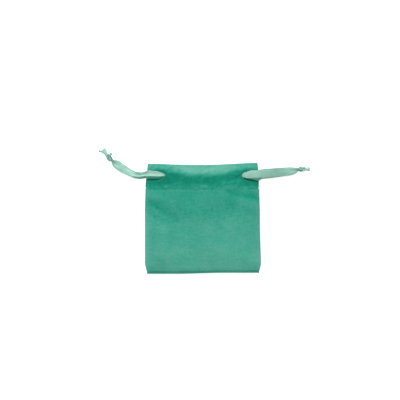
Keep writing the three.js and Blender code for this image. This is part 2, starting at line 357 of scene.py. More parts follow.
def bump_node(nodes, links, height, distance, strength, below=None):
    bump = nodes.new("ShaderNodeBump")
    bump.inputs["Distance"].default_value = distance
    bump.inputs["Strength"].default_value = strength
    links.new(height, bump.inputs["Height"])
    if below is not None:
        links.new(below, bump.inputs["Normal"])
    return bump.outputs["Normal"]


def attribute_node(nodes, name, output):
    node = nodes.new("ShaderNodeAttribute")
    node.attribute_name = name
    return node.outputs[output]


def math_node(nodes, links, operation, *values):
    node = nodes.new("ShaderNodeMath")
    node.operation = operation
    for socket, value in zip(node.inputs, values):
        set_socket(links, socket, value)
    return node.outputs["Value"]


def pile_cloth():
    """Brushed cloth with a short pile over a fine weave. The shade attribute paints light and shade on it,
    from deep green painted shade to a pale painted sheen, and loose patches and a fine grain vary that tone
    at random."""
    material, nodes, links, shader = new_material("pile_cloth")
    place = attribute_node(nodes, "rest_place", "Vector")
    patches = noise_node(nodes, links, place, 70.0)
    grain = noise_node(nodes, links, place, 950.0, 3.0, 0.65, (1, 0.6, 1))
    weave = noise_node(nodes, links, place, 420.0, 2.0, 0.5, (0.35, 1.6, 1))
    # The shade attribute's painted light and shade, varied at random by patches, grain and weave.
    painted_light_and_tone = attribute_node(nodes, "shade", "Fac")
    for pattern, strength in ((patches, 0.2), (grain, 0.42), (weave, 0.2)):
        offset = math_node(nodes, links, "MULTIPLY_ADD", pattern, strength, -strength / 2)
        painted_light_and_tone = math_node(nodes, links, "ADD", painted_light_and_tone, offset)
    links.new(ramp_node(nodes, links, painted_light_and_tone, PILE_SHADE_TO_SHEEN), shader.inputs["Base Color"])
    look = {"Roughness": 0.9, "Specular IOR Level": 0.12, "Sheen Weight": 0.07, "Sheen Roughness": 0.5}
    set_look(shader, look | {"Sheen Tint": (0.75, 1.0, 0.93, 1)})
    fibres = noise_node(nodes, links, place, 2600.0, 3.0, 0.6, (1, 0.5, 1))
    normal = bump_node(nodes, links, fibres, 0.00018, 0.5)
    normal = bump_node(nodes, links, grain, 0.0003, 0.35, normal)
    links.new(normal, shader.inputs["Normal"])
    return material


def satin_ribbon():
    """Satin ribbon: fine cross ribs and a smooth lengthwise gloss. The shade attribute goes from 0, full
    gloss, by 0.5, painted shade for gloss turned away, to 1, the dull deep green reverse in painted shade."""
    material, nodes, links, shader = new_material("satin_ribbon")
    strip = nodes.new("ShaderNodeUVMap")
    strip.uv_map = "strip"
    place = strip.outputs["UV"]
    streaks = noise_node(nodes, links, place, 1.0, 3.0, 0.6, (0.06, 1.8, 1))
    blots = noise_node(nodes, links, place, 0.35, 2.0)
    tone = math_node(nodes, links, "MULTIPLY_ADD", blots, 0.5, streaks)
    colour = ramp_node(nodes, links, tone, SATIN_COLOURS)
    shade = attribute_node(nodes, "shade", "Fac")
    # Up to 0.5 the shade attribute mixes in painted shade, and above it the reverse in painted shade.
    painted_shade_share = math_node(nodes, links, "MULTIPLY", shade, 2.0)
    reverse_in_shade = math_node(nodes, links, "MULTIPLY_ADD", shade, 2.0, -1.0)
    colour = mix_node(nodes, links, painted_shade_share, colour, SATIN_PAINTED_SHADE)
    colour = mix_node(nodes, links, reverse_in_shade, colour, SATIN_REVERSE_IN_SHADE)
    links.new(colour, shader.inputs["Base Color"])
    look = {"Roughness": 0.45, "Specular IOR Level": 0.45, "Sheen Weight": 0.1, "Sheen Roughness": 0.4}
    set_look(shader, look)
    ribs = nodes.new("ShaderNodeTexWave")
    ribs.wave_type = "BANDS"
    ribs.bands_direction = "X"
    ribs.inputs["Scale"].default_value = 0.9
    ribs.inputs["Distortion"].default_value = 0.6
    links.new(place, ribs.inputs["Vector"])
    normal = bump_node(nodes, links, ribs.outputs["Fac"], 0.00003, 0.15)
    normal = bump_node(nodes, links, streaks, 0.00008, 0.25, normal)
    links.new(normal, shader.inputs["Normal"])
    return material


def sewing_thread():
    """Spun thread in the colour of the cloth."""
    material, nodes, links, shader = new_material("sewing_thread")
    place = attribute_node(nodes, "rest_place", "Vector")
    twist = noise_node(nodes, links, place, 3000.0, 2.0, 0.6)
    links.new(ramp_node(nodes, links, twist, THREAD_COLOURS), shader.inputs["Base Color"])
    set_look(shader, {"Roughness": 0.6, "Sheen Weight": 0.2})
    links.new(bump_node(nodes, links, twist, 0.0001, 0.6), shader.inputs["Normal"])
    return material


CLOTH_MATERIAL = pile_cloth()
RIBBON_MATERIAL = satin_ribbon()
THREAD_MATERIAL = sewing_thread()

# ---- Ribbons ----


ROUTE_PARTS = 16


def smooth_route(points, step):
    """A Catmull-Rom line through the points: places about step apart, and the distance to each."""
    points = np.array(points, float)
    ends = np.concatenate([[2 * points[0] - points[1]], points, [2 * points[-1] - points[-2]]])
    line = []
    for a, b, c, d in zip(ends, ends[1:], ends[2:], ends[3:]):
        for t in np.linspace(0, 1, ROUTE_PARTS, endpoint=False):
            square = (2 * a - 5 * b + 4 * c - d) * t**2
            cube = (3 * b - a - 3 * c + d) * t**3
            line.append(0.5 * (2 * b + (c - a) * t + square + cube))
    line.append(points[-1])
    line = np.array(line)
    along = distance_along(line)
    at = np.linspace(0, along[-1], max(2, int(round(along[-1] / step)) + 1))
    return np.stack([np.interp(at, along, line[:, k]) for k in range(3)], axis=1), at


def soften(values, reach):
    """A running average over reach places on each side, which keeps the ends."""
    padded = np.concatenate([np.repeat(values[:1], reach), values, np.repeat(values[-1:], reach)])
    weights = np.hanning(2 * reach + 3)[1:-1]
    return np.convolve(padded, weights / weights.sum(), mode="valid")


def strip_mesh(line, wide, up, offsets, rises, thick):
    """A closed strip round a line. offsets and rises give each ring's places across it and above it."""
    middle = ring_points(line, wide, up, offsets, rises)
    across = np.gradient(middle, axis=1)
    along = np.gradient(middle, axis=0)
    normal = np.cross(along, across)
    normal /= np.maximum(np.linalg.norm(normal, axis=2, keepdims=True), 1e-9)
    normal *= np.sign((normal * up[:, None]).sum(2).mean())
    share = np.linspace(-1, 1, offsets.shape[1])
    half = (thick / 2 * (1 - 0.5 * share**8))[None, :, None]
    return tube_mesh(np.concatenate([middle + normal * half, (middle - normal * half)[:, ::-1]], axis=1))


def both_faces(values):
    """A ring's values over the strip's upper face, and again over its lower face on the way back."""
    return np.concatenate([values, values[:, ::-1]], axis=1).reshape(-1)


def strip_places(along, offsets):
    """The place along and across the ribbon of each point that strip_mesh() makes."""
    along = np.repeat(along[:, None], offsets.shape[1], axis=1)
    return np.stack([both_faces(along), both_faces(offsets)], axis=1)


def level_frame(line):
    """At each place, the level direction across a ribbon, towards +Y, and the upward one."""
    tangent = unit(np.gradient(line, axis=0))
    wide = unit(np.cross([0, 0, 1.0], tangent))
    wide *= np.where(wide[:, 1:2] < 0, -1, 1)
    up = np.cross(tangent, wide)
    up *= np.where(up[:, 2:3] < 0, -1, 1)
    return wide, up


# Each strand's route, out of its slit, over the corner of the hem and down to its knot, and short tables of
# how it lies, by distance from the middle of the pouch. up and down are its reach from the route to its upper
# and lower edges, and down is the same as up where it isn't given. flap is how much is turned down along the
# lower edge, dull how much of its reverse, darkened with painted shade, that part shows, and ridge how high
# the crease beside it stands. tone is how much painted shade, for gloss turned away from the light, lies
# beside the crease, and upper_tone the same at the upper edge.
STRANDS = {
    "left_ribbon_front_end": {
        "route": [
            (-25.6, 31.2, 8.05), (-27.4, 30.5, 8.05), (-29.4, 30.2, 8.05), (-32, 30.2, 8.05),
            (-34.4, 30.3, 8.05), (-36.9, 30.4, 8.05), (-38.6, 30.2, 7.9), (-40.5, 29.7, 7.3),
            (-42.3, 29.3, 6.3), (-44.2, 29.1, 5.1), (-46.2, 29.4, 3.9), (-48.2, 30.1, 2.9), (-51, 31.6, 2),
            (-54.2, 33.5, 1.5), (-57.6, 35.7, 1.4), (-60.8, 38.1, 1.5), (-62.9, 39.9, 1.7),
            (-64.4, 41.6, 1.7),
        ],
        "up": (
            (25.6, 2.2), (28.2, 2.2), (32, 2.5), (36, 2.8), (38.7, 2.9), (39.8, 1.8), (41, 1.5), (45, 1.7),
            (48, 2.0), (52, 2.5), (56, 3.0), (60, 2.9), (61.6, 2.3), (62.9, 1.0), (64.4, 0.8),
        ),
        "down": (
            (25.6, 2.2), (28.2, 2.4), (32, 2.8), (38.7, 2.9), (39.8, 2.2), (41, 2.0), (45, 1.7), (48, 1.9),
            (52, 2.3), (56, 2.9), (60.4, 2.9), (61.8, 2.4), (62.8, 1.1), (64.4, 0.7),
        ),
        "flap": (
            (25.6, 0.3), (27, 0.5), (27.8, 1.4), (32, 1.8), (38.7, 1.9), (41, 1.9), (45, 1.6), (49, 1.1),
            (54, 0.4),
        ),
        "dull": ((26.4, 0), (27.2, 1), (43, 1), (46, 0.6), (49, 0.2), (53, 0)),
        "ridge": ((26, 0), (28.5, 0.4), (32, 0.55), (42, 0.65), (50, 0.5), (58, 0.2), (62, 0)),
        "tone": ((26, 0.5), (30, 0.1), (38, 0), (44, 0), (48, 0.1), (53, 0.25), (60.5, 0.25), (62.5, 1)),
        "upper_tone": (
            (26, 0.7), (32, 0.95), (38, 1), (46, 1), (49, 0.6), (53, 0.25), (60.5, 0.25), (62.5, 1),
        ),
    },
    "left_ribbon_back_end": {
        "route": [
            (-25.6, 31.2, 1.15), (-27.4, 31.1, 1.15), (-29.4, 31.1, 1.15), (-32, 31.1, 1.15),
            (-34.4, 31.1, 1.15), (-36.9, 31.1, 1.15), (-38.6, 30.9, 0.9), (-40.5, 30.6, 0.6),
            (-42.3, 30.3, 0.4), (-44.2, 30.2, 0.3), (-46.2, 30.2, 0.3), (-48.2, 30.6, 0.3), (-51, 31.8, 0.3),
            (-54.2, 33.7, 0.3), (-57.6, 35.8, 0.4), (-60.8, 38.1, 0.6), (-62.9, 39.9, 0.9),
            (-64.4, 41.6, 1.1),
        ],
        "up": (
            (25.6, 2.2), (28.5, 2.5), (32, 3.0), (38, 3.0), (39.8, 2.1), (42, 1.9), (48, 2.2), (52, 2.4),
            (56, 2.8), (60.4, 2.6), (61.8, 2.1), (62.8, 1.0), (64.4, 0.7),
        ),
        "tone": ((26, 1), (47, 1), (53, 0.3)),
    },
    "right_ribbon_front_end": {
        "route": [
            (25.6, 31, 8.05), (27.4, 30.6, 8.05), (29.4, 30.4, 8.05), (32, 30.3, 8.05), (34.4, 30.2, 8.05),
            (36.9, 30.2, 8.05), (38.6, 30.5, 7.9), (40.5, 30.8, 7.3), (42.4, 31.1, 6.3), (44.4, 31.3, 5.1),
            (46.6, 31.5, 3.9), (49, 31.7, 2.8), (52.4, 32, 1.9), (56, 32.4, 1.5), (59.6, 32.8, 1.4),
            (62.6, 33.3, 1.5), (65, 33.9, 1.7), (66.8, 34.4, 1.7),
        ],
        "up": (
            (25.6, 2.2), (28.5, 2.4), (31, 2.9), (34, 3.1), (40, 3.2), (54, 3.1), (60, 2.85), (62.4, 2.4),
            (64.2, 1.8), (65.4, 1.0), (66.8, 0.7),
        ),
        "down": (
            (25.6, 2.2), (28.5, 2.3), (31, 2.8), (34, 3.3), (37, 4.0), (38.4, 4.1), (39.3, 3.1), (40.4, 2.8),
            (46, 3.1), (54, 3.15), (60, 3.05), (62, 2.75), (63.7, 2.3), (65.3, 1.3), (66.4, 0.8),
        ),
        "flap": ((30, 0.3), (31.5, 0.5), (34, 1.2), (37, 2.0), (38.6, 2.0), (39.4, 0.9), (40.4, 0.4)),
        "dull": ((30, 0), (32, 0.75), (38.8, 0.75), (39.8, 0)),
        "ridge": ((26, 0), (29, 0.2), (38, 0.35), (50, 0.15), (62, 0)),
        "tone": (
            (26, 0.36), (32, 0.53), (44, 0.59), (51, 0.74), (55, 0.65), (59, 0.45), (63.5, 0.6), (65.3, 1),
        ),
    },
    "right_ribbon_back_end": {
        "route": [
            (25.6, 29.9, 1.15), (27.4, 29.9, 1.15), (29.4, 29.9, 1.15), (32, 29.9, 1.15), (34.4, 29.9, 1.15),
            (36.9, 29.9, 1.15), (38.6, 30.2, 0.9), (40.5, 30.4, 0.6), (42.4, 30.6, 0.4), (44.4, 30.8, 0.3),
            (46.6, 31, 0.3), (49, 31.3, 0.3), (52.4, 31.7, 0.3), (56, 32.2, 0.3), (59.6, 32.7, 0.4),
            (62.6, 33.2, 0.6), (65, 33.8, 0.9), (66.8, 34.4, 1.1),
        ],
        "up": (
            (25.6, 2.2), (28.5, 2.5), (32, 3.0), (54, 2.9), (62, 2.2), (64, 1.5), (65.4, 0.8), (66.8, 0.6),
        ),
        "tone": ((26, 0.6), (65, 0.6)),
    },
}
# How much more the gloss is turned away along both edges.
SELVEDGE_TONE = 0.4
# How fully a strand lies on the hem.
ON_HEM = ((25.6, 0.1), (28, 1), (37, 1), (44, 0))
# How many places across it the flat part and the turned part have, and how far apart they are along it.
UPPER_PLACES = 10
FLAP_PLACES = 6
STRAND_STEP = 0.35
# How much is turned down where there is no flap, and over how many places the tables are softened.
LEAST_FLAP = 0.3
SOFT_PLACES = 2


def make_strand(node):
    """A free strand of ribbon: its closed mesh, and the line it follows."""
    tables = STRANDS[node]
    line, along = smooth_route(tables["route"], STRAND_STEP)
    reach = np.abs(line[:, 0])
    front = node.endswith("front_end")

    def read(entry, other=((0, 0),)):
        return along_table(tables.get(entry, other), reach)

    up_side = soften(read("up"), SOFT_PLACES)
    down_side = soften(read("down", tables["up"]), SOFT_PLACES)
    flap = soften(read("flap", ((0, LEAST_FLAP),)), SOFT_PLACES)
    dull = soften(read("dull"), SOFT_PLACES)
    on_hem = along_table(ON_HEM, reach)
    crease = -down_side + flap
    upper = mix(crease[:, None], up_side[:, None], np.linspace(0, 1, UPPER_PLACES)[None, :])
    lower = mix(-down_side[:, None], crease[:, None], np.linspace(0, 1, FLAP_PLACES)[None, :-1])
    offsets = np.concatenate([lower, upper], axis=1)
    share = (offsets + down_side[:, None]) / (up_side + down_side)[:, None]
    arch = 4 * share * (1 - share) * mix(0.3, 0.35, on_hem)[:, None]
    past = np.clip((offsets - crease[:, None]) / (up_side - crease)[:, None], 0, 1)
    ridge = read("ridge")[:, None] * (1 - past) ** 1.5
    drop = np.clip(crease[:, None] - offsets, 0, None) * 0.6 * dull[:, None]
    seed = 61 if front else 62
    wrinkle = 0.12 * waves(along[:, None], offsets * 2.2, 7.0, seed) * (1 - on_hem[:, None])
    lift = 0.3 * on_hem[:, None] * (1 if front else 0)
    wide, up = level_frame(line)
    points, faces = strip_mesh(line, wide, up, offsets, arch + ridge - drop + wrinkle + lift, RIBBON_THICK)
    strip = strip_places(along, offsets)
    # Painted shade where the gloss is turned away, and on the flap the reverse darkened with painted shade.
    tone = mix(read("tone")[:, None], read("upper_tone", tables["tone"])[:, None], smooth(0.05, 0.7, past))
    tone[:, [0, -1]] += SELVEDGE_TONE
    tone = np.clip(tone, 0, 1) / 2
    shade = np.where(offsets < crease[:, None] - 0.02, mix(tone, 1.0, dull[:, None]), tone)
    shade = np.concatenate([shade, np.ones_like(shade)], axis=1).reshape(-1)
    name = node.replace("_end", "_strand")
    return add_piece(name, points, faces, RIBBON_MATERIAL, strip=strip, shade=shade), line


TAIL_STEP = 0.4
TAIL_PLACES = 9
TAIL_ARCH = 0.25
# A little painted shade on the tails.
TAIL_TONE = 0.1


def narrow_strip(name, route, widths, turned):
    """A short ribbon whose width goes from the first to the second of widths. turned tips it, in degrees."""
    line, along = smooth_route(route, TAIL_STEP)
    share = along / along[-1]
    half = mix(widths[0], widths[1], smooth(0.1, 0.9, share))[:, None] / 2
    wide, up = level_frame(line)
    angle = np.radians(turned * smooth(0, 0.7, share))[:, None]
    wide, up = wide * np.cos(angle) + up * np.sin(angle), up * np.cos(angle) - wide * np.sin(angle)
    across = np.linspace(-1, 1, TAIL_PLACES)[None, :]
    offsets = half * across
    rises = TAIL_ARCH * (1 - across**2) * np.ones_like(offsets)
    points, faces = strip_mesh(line, wide, up, offsets, rises, RIBBON_THICK)
    shade = np.full(len(points), TAIL_TONE)
    strip = strip_places(along, offsets)
    return add_piece(name, points, faces, RIBBON_MATERIAL, strip=strip, shade=shade)


KNOT_RINGS = 120
KNOT_PLACES = 20
# Half the ribbon's width and thickness in the knot, where the trefoil's own radius is 2.
KNOT_RIBBON = (1.25, 0.6)


def knot_piece(name, centre, direction, size):
    """A tight overhand knot: a trefoil of flat ribbon whose folds lie over each other, pressed into size."""
    turn = np.linspace(0, 2 * math.pi, KNOT_RINGS, endpoint=False)
    reach = 2 + np.cos(3 * turn)
    line = np.stack([reach * np.cos(2 * turn), reach * np.sin(2 * turn), 1.1 * np.sin(3 * turn)], axis=1)
    tangent = unit(np.roll(line, -1, axis=0) - np.roll(line, 1, axis=0))
    outward = line * [1, 1, 0.3]
    outward = unit(outward - (outward * tangent).sum(1, keepdims=True) * tangent)
    upward = np.cross(tangent, outward)
    roll = (0.7 * np.sin(2 * turn + 0.5))[:, None]
    broad = outward * np.cos(roll) + upward * np.sin(roll)
    thin = upward * np.cos(roll) - outward * np.sin(roll)
    around = np.linspace(0, 2 * math.pi, KNOT_PLACES, endpoint=False)
    swell = 1 + 0.12 * np.cos(5 * around[None, :] + 2 * np.sin(turn)[:, None])
    offsets = KNOT_RIBBON[0] * swell * np.cos(around)
    rings = ring_points(line, broad, thin, offsets, KNOT_RIBBON[1] * swell * np.sin(around))
    low, high = rings.reshape(-1, 3).min(0), rings.reshape(-1, 3).max(0)
    rings = (rings - (low + high) / 2) / (high - low) * size
    cosine, sine = math.cos(math.radians(direction)), math.sin(math.radians(direction))
    rings = rings @ np.array([[cosine, sine, 0], [-sine, cosine, 0], [0, 0, 1]]) + centre
    points, faces = tube_mesh(rings, capped=False)
    along = np.repeat((turn * 4)[:, None], len(around), axis=1)
    across = np.repeat(np.cos(around)[None, :], len(turn), axis=0)
    strip = np.stack([along, across], axis=2).reshape(-1, 2)
    # Painted shade that comes and goes round the knot's three lobes.
    shade = np.repeat((0.22 + 0.2 * np.sin(3 * turn + 1))[:, None], len(around), axis=1).reshape(-1)
    return add_piece(name, points, faces, RIBBON_MATERIAL, sharp=80, strip=strip, shade=shade)


KNOTS = {
    "left": {"centre": (-65.9, 42.7, 1.65), "direction": 127, "size": (6.4, 3.7, 3.2)},
    "right": {"centre": (68.7, 34.3, 1.6), "direction": 4, "size": (5.7, 3.9, 3.1)},
}

# The cut ends that stand out of the knots: their route, widths and tilt.
TAILS = {
    "left_tail_upper": (
        ((-66.8, 43.8, 2.2), (-67.6, 45.4, 2.2), (-68.5, 46.8, 1.9), (-69.6, 48.2, 1.5)), (1.3, 3.4), 10,
    ),
    "left_tail_lower": (
        ((-66.8, 43.6, 1.3), (-68, 44.9, 1.2), (-70.2, 46.1, 1.1), (-72.8, 47.1, 0.9)), (1.5, 1.9), 50,
    ),
    "right_tail_upper": (
        ((69.8, 34.1, 2), (71.2, 34.3, 2.1), (72.2, 34.6, 1.9), (73.2, 34.8, 1.6)), (1.3, 2.2), -20,
    ),
    "right_tail_lower": (
        ((69.8, 34.1, 1.3), (71.4, 34.2, 1.1), (72.6, 34.3, 1), (74, 34.3, 0.9)), (1.3, 2.8), 15,
    ),
}
# A small turn of ribbon that is caught in the left knot stands up beside it.
KNOT_FOLD = (
    ((-65.6, 43.0, 2.3), (-64.9, 43.9, 2.9), (-64.2, 44.6, 3.0), (-63.5, 45.1, 2.7)), (1.4, 2.2), 20,
)
RUN_STEP = 0.7
RUN_PLACES = 7
# Painted shade on the ribbon inside the hem.
RUN_TONE = 0.2
# How far inside the far corner the ribbon turns back.
TURN_INSET = 1.4


def inside_loop(name, side):
    """The ribbon between its two slits: along the hem, round inside the far corner and back behind."""
    run_z = RUN_Z[side]
    end_x = HEM_REACH[-side][-1][1] - TURN_INSET
    front_y, back_y = (STRANDS[f"{name}_{place}_end"]["route"][0][1] for place in ("front", "back"))
    front = [
        (27.0, front_y, 7.75),
        (25.4, front_y, 7.85),
        (22, RUN_Y, run_z),
        (0, RUN_Y, run_z),
        (-24, RUN_Y, run_z),
        (-28.5, RUN_Y, run_z - 0.1),
        (-31, RUN_Y, run_z - 0.6),
        (-33, RUN_Y, run_z - 1.2),
        (-end_x + 1.2, RUN_Y, run_z - 1.9),
    ]
    back = [(x, y, 2 * MIDDLE_Z - z) for x, y, z in front[::-1]]
    back[-2:] = [(x, back_y, z) for x, y, z in back[-2:]]
    route = [(side * x, y, z) for x, y, z in front + [(-end_x, RUN_Y, MIDDLE_Z)] + back]
    line, along = smooth_route(route, RUN_STEP)
    wide = np.repeat([[0, 1.0, 0]], len(line), axis=0)
    up = unit(np.cross(unit(np.gradient(line, axis=0)), wide))
    offsets = np.repeat(np.linspace(-1, 1, RUN_PLACES)[None, :] * INNER_WIDTH / 2, len(line), axis=0)
    points, faces = strip_mesh(line, wide, up, offsets, 0 * offsets, 2 * RIBBON_THICK)
    shade = np.full(len(points), RUN_TONE)
    strip = strip_places(along, offsets)
    return add_piece(name + "_inside", points, faces, RIBBON_MATERIAL, strip=strip, shade=shade)


def make_ribbon(hand):
    body = f"{hand}_ribbon"
    knot = knot_piece(f"{hand}_overhand_knot", **KNOTS[hand])
    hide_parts(f"{hand}_knot")
    tails = []
    for level in ("upper", "lower"):
        node = f"{hand}_tail_{level}"
        tail = narrow_strip(node + "_end", *TAILS[node])
        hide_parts(node)
        tails.append(tail)
    if hand == "left":
        tails.append(narrow_strip("left_knot_fold", *KNOT_FOLD))
    inside = inside_loop(body, SIDES[hand])
    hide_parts(f"{hand}_ribbon_loop")
    for piece in (knot, *tails, inside):
        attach(piece, body)
    for place, on_it in (("front", [knot, *tails]), ("back", [knot])):
        node = f"{hand}_ribbon_{place}_end"
        strand, line = make_strand(node)
        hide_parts(node)
        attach(strand, body)


for hand in SIDES:
    make_ribbon(hand)

# ---- Body panels ----


def streak(x, y, start, end, width):
    """1 on the straight line between two points, dying away beside it."""
    run = np.subtract(end, start)
    share = np.clip(((x - start[0]) * run[0] + (y - start[1]) * run[1]) / (run @ run), 0, 1)
    return hump(np.hypot(x - start[0] - share * run[0], y - start[1] - share * run[1]), 0, width)


def body_reach(y, side):
    """How far the body's edge is from the middle, with its foot corners cut off at a slant."""
    sides = along_table(BODY_REACH[side], y)
    corner_reach = BODY_REACH[side][0][1] + 0.1
    foot = np.interp(y, [FOOT_Y, FOOT_Y + FOOT_CORNER], [FOOT_REACH[side], corner_reach])
    return -np.logaddexp(-CORNER_SHARPNESS * sides, -CORNER_SHARPNESS * foot) / CORNER_SHARPNESS


def foot_rise(x, y):
    """The foot edge sits a little higher on the right."""
    return (0.72 * smooth(-18, 14, x) - 0.45) * (1 - smooth(FOOT_Y, FOOT_Y + 12, y))


def seam_height(y):
    """The height of the side seam, which comes up to the hem's middle."""
    return mix(SEAM_LOW_Z, MIDDLE_Z, smooth(*SEAM_RISE, y))


def stitch_groove(y):
    return 0.16 * hump(y, STITCH_Y, 0.55)


def puckers(x, y, centre, width):
    """Small puckers beside the stitching, which are the same above it and below it."""
    return 0.07 * waves(x, 0 * y, 2.6, 7) * hump(y, centre, width)


def pile(x, y, seed):
    return 0.02 * waves(x, y, 1.6, seed, count=24)


# Soft folds that run in from the side seams under the hem: where, how wide and how deep.
BODY_FOLDS = (
    ((-37, 11), (-19, -1.5), 2.6, 0.3),
    ((17, 18.5), (38, 13.5), 2.0, 0.28),
    ((-36, 3), (-24, -3), 2.0, 0.15),
    ((30, 5), (37, 2), 1.8, 0.14),
)
BODY_SWELLS = (((-37, 16), (-22, 12), 2.6, 0.2), ((26, 11), (36, 9.5), 2.6, 0.2))


def body_relief(x, y):
    """How far the cloth stands above its smooth shape: slack, folds, puckers at the stitching and pile."""
    under_stitch = np.clip((STITCH_Y - y) / 60, 0, 1)
    slack = 0.3 * waves(x, y, 30, 3) * smooth(0, 0.15, under_stitch)
    drag = 0.06 * waves(x, y, 6.5, 5, long_y=2.6) * mix(1.0, 0.3, under_stitch)
    foot_line = -0.16 * hump(y, FOOT_Y + 3.1, 0.5)
    folds = sum(-depth * streak(x, y, a, b, width) for a, b, width, depth in BODY_FOLDS)
    swells = sum(height * streak(x, y, a, b, width) for a, b, width, height in BODY_SWELLS)
    beside_stitches = puckers(x, y, STITCH_Y - 1.2, 2.0)
    return slack + drag + beside_stitches + foot_line + pile(x, y, 11) + folds + swells


def body_shade(x, y, side):
    """Painted light and shade on the pile: deeper green painted shade near the hem, in the folds and creases
    and at the foot edge and its corners, and paler painted light low down, on the swells and, as a painted
    sheen, along the side seams."""
    # Deeper painted shade under the hem, where the body slopes away from the light, over a little random
    # tone.
    shade = mix(0.56, 0.4, smooth(-6, 15, y)) + 0.03 * waves(x, y, 12, 71)
    # Painted shade in the folds and painted light on the swells.
    for a, b, width, depth in BODY_FOLDS:
        shade = shade - 0.45 * depth * streak(x, y, a, b, width * 0.9)
    for a, b, width, height in BODY_SWELLS:
        shade = shade + 0.4 * height * streak(x, y, a, b, width)
    # Painted shade in creases, a painted sheen along the side seams and painted shade along the foot edge.
    crease_shade = np.maximum(waves(x, y, 5.5, 73, long_y=0.3), 0) * hump(y, 3, 9)
    edge = body_reach(y, side) - np.abs(x)
    shade = shade - 0.11 * crease_shade + 0.1 * hump(edge, 1.6, 1.6) - 0.2 * hump(y, FOOT_Y + 0.5, 1.6)
    # Painted light low down, and painted shade at the foot's corners.
    shade = shade + 0.09 * (1 - smooth(-30, -14, y))
    return shade - 0.14 * hump(np.hypot(np.abs(x) - 36, y - FOOT_Y - 1), 0, 4)


def edge_fall(y, inset):
    """How much nearer together the two layers lie towards the foot and the side seams."""
    foot = 1.1 * (1 - smooth(FOOT_Y, FOOT_Y + 13, y))
    beside = 0.7 * (1 - smooth(0, 11, inset)) * (1 - smooth(0, STITCH_Y - 4, y))
    return np.hypot(foot, beside)


SIDE_ROLL_PLACES = 19
FOOT_ROLL_PLACES = 15


def roll_steps(count):
    """Shares of the roll's depth in from the edge, and of full height there, on a quarter of an ellipse."""
    angle = np.linspace(math.pi / 2, 0, count)
    return 1 - np.sin(angle), np.cos(angle)


def panel_surface(side, front):
    """A half panel's outer face, from the foot up and from the middle out to the seam."""
    inset_x, rise_x = roll_steps(SIDE_ROLL_PLACES)
    inset_y, rise_y = roll_steps(FOOT_ROLL_PLACES)
    flat_x = np.linspace(0, 1, int((WIDEST - SIDE_ROLL[0]) / CLOTH_STEP))
    flat_y = np.linspace(0, 1, int((STITCH_Y - FOOT_Y - FOOT_ROLL) / CLOTH_STEP))[1:]
    y = np.concatenate([FOOT_Y + FOOT_ROLL * inset_y, mix(FOOT_Y + FOOT_ROLL, STITCH_Y, flat_y)])
    full_y = np.concatenate([rise_y, np.ones(len(flat_y))])[:, None]
    edge = body_reach(y, side)[:, None]
    roll = mix(*SIDE_ROLL, smooth(0, STITCH_Y, y))[:, None]
    across = np.concatenate([flat_x[None, :] * (edge - roll), edge - roll * inset_x[None, -2::-1]], axis=1)
    across[:, -1] -= SEAM_INSET
    full_x = np.concatenate([np.ones(len(flat_x)), rise_x[-2::-1]])[None, :]
    x = side * across
    y = np.repeat(y[:, None], x.shape[1], axis=1)
    y[0] += SEAM_INSET
    full = full_y * full_x
    relief = body_relief(x, y) * full
    rise = smooth(*BODY_RISE, y)
    if front:
        crown = mix(BODY_Z, SHOULDER_Z, rise) - edge_fall(y, edge - across)
        z = mix(seam_height(y), crown, full) + relief - stitch_groove(y) * full
    else:
        low = FLOOR_GAP + rise + 0.5 * np.abs(relief) + 0.5 * edge_fall(y, edge - across)
        z = mix(seam_height(y), low, full) + stitch_groove(y) * full
    return np.stack([x, y + foot_rise(x, y), z], axis=2)


def make_panel(hand, front):
    side = SIDES[hand]
    outer = panel_surface(side, front)
    normal = grid_normals(outer)
    normal *= np.sign(normal[:, : normal.shape[1] // 2, 2].mean()) * (1 if front else -1)
    inner = outer - CLOTH * normal
    inner[:, 0, 0] = 0.0
    inner[-1, :, 1] = outer[-1, :, 1]
    points, faces = shell_mesh(outer, inner)
    shade = body_shade(points[:, 0], points[:, 1], side)
    layer = "front" if front else "back"
    piece = add_piece(f"{layer}_panel_{hand}", points, faces, CLOTH_MATERIAL, shade=shade)
    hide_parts(f"{layer}_panel")
    gather_body(piece, side)
    return piece


def gather_body(piece, side):
    """Bakes the piece's placement into its mesh."""
    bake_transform(piece)


def gather_hem(piece, side):
    """Bakes the piece's placement into its mesh."""
    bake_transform(piece)


# ---- Hem ----

TIP_ROUND = 3.0
TIP_CENTRE_X = TIP_X - TIP_ROUND
TIP_STRETCH_FROM = 30.0
TIP_PLACES = 13
# The contour's steps are wide along the middle of the hem and narrow from here on.
NARROW_FROM = 23.5
WIDE_STEP = 0.55
NARROW_STEP = 0.3


def hem_contour():
    """Places round the hem's middle layer, from the front's middle to the back's, and the outward directions
    there."""
    outer = [(x, HEM_TOP_Z - MIDDLE_Z) for x in np.arange(0, NARROW_FROM, WIDE_STEP)]
    for x in np.arange(NARROW_FROM, TIP_CENTRE_X - 0.2, NARROW_STEP):
        share = np.clip((x - SLIT_X) / (TIP_CENTRE_X - SLIT_X), 0, 1)
        outer.append((x, mix(TIP_ROUND, MIDDLE_Z, (1 + math.cos(math.pi * share)) / 2)))
    for angle in np.linspace(math.pi / 2, 0, TIP_PLACES):
        outer.append((TIP_CENTRE_X + TIP_ROUND * math.cos(angle), TIP_ROUND * math.sin(angle)))
    outer += [(x, -z) for x, z in outer[-2::-1]]
    outer = np.array(outer)
    along = np.gradient(outer, axis=0)
    along[0], along[-1] = (1, 0), (-1, 0)
    along = unit(along)
    outward = np.stack([-along[:, 1], along[:, 0]], axis=1)
    return outer - outward * HEM_STACK / 2, outward


SEAM_PULL = 0.2
HEM_EDGE = 0.72
HEM_AT_STITCH = 0.25
HEM_FULL = 1.5
RISE_PLACES = 64
FOLD_PLACES = 12
# How high above the pouch's middle the slit's hollow is, at the slit and at the tip, and how far the cloth
# there must face forwards or backwards to be hollowed.
HOLLOW_HEIGHT = (2.45, 2.2)
LEAST_FACING = 0.35
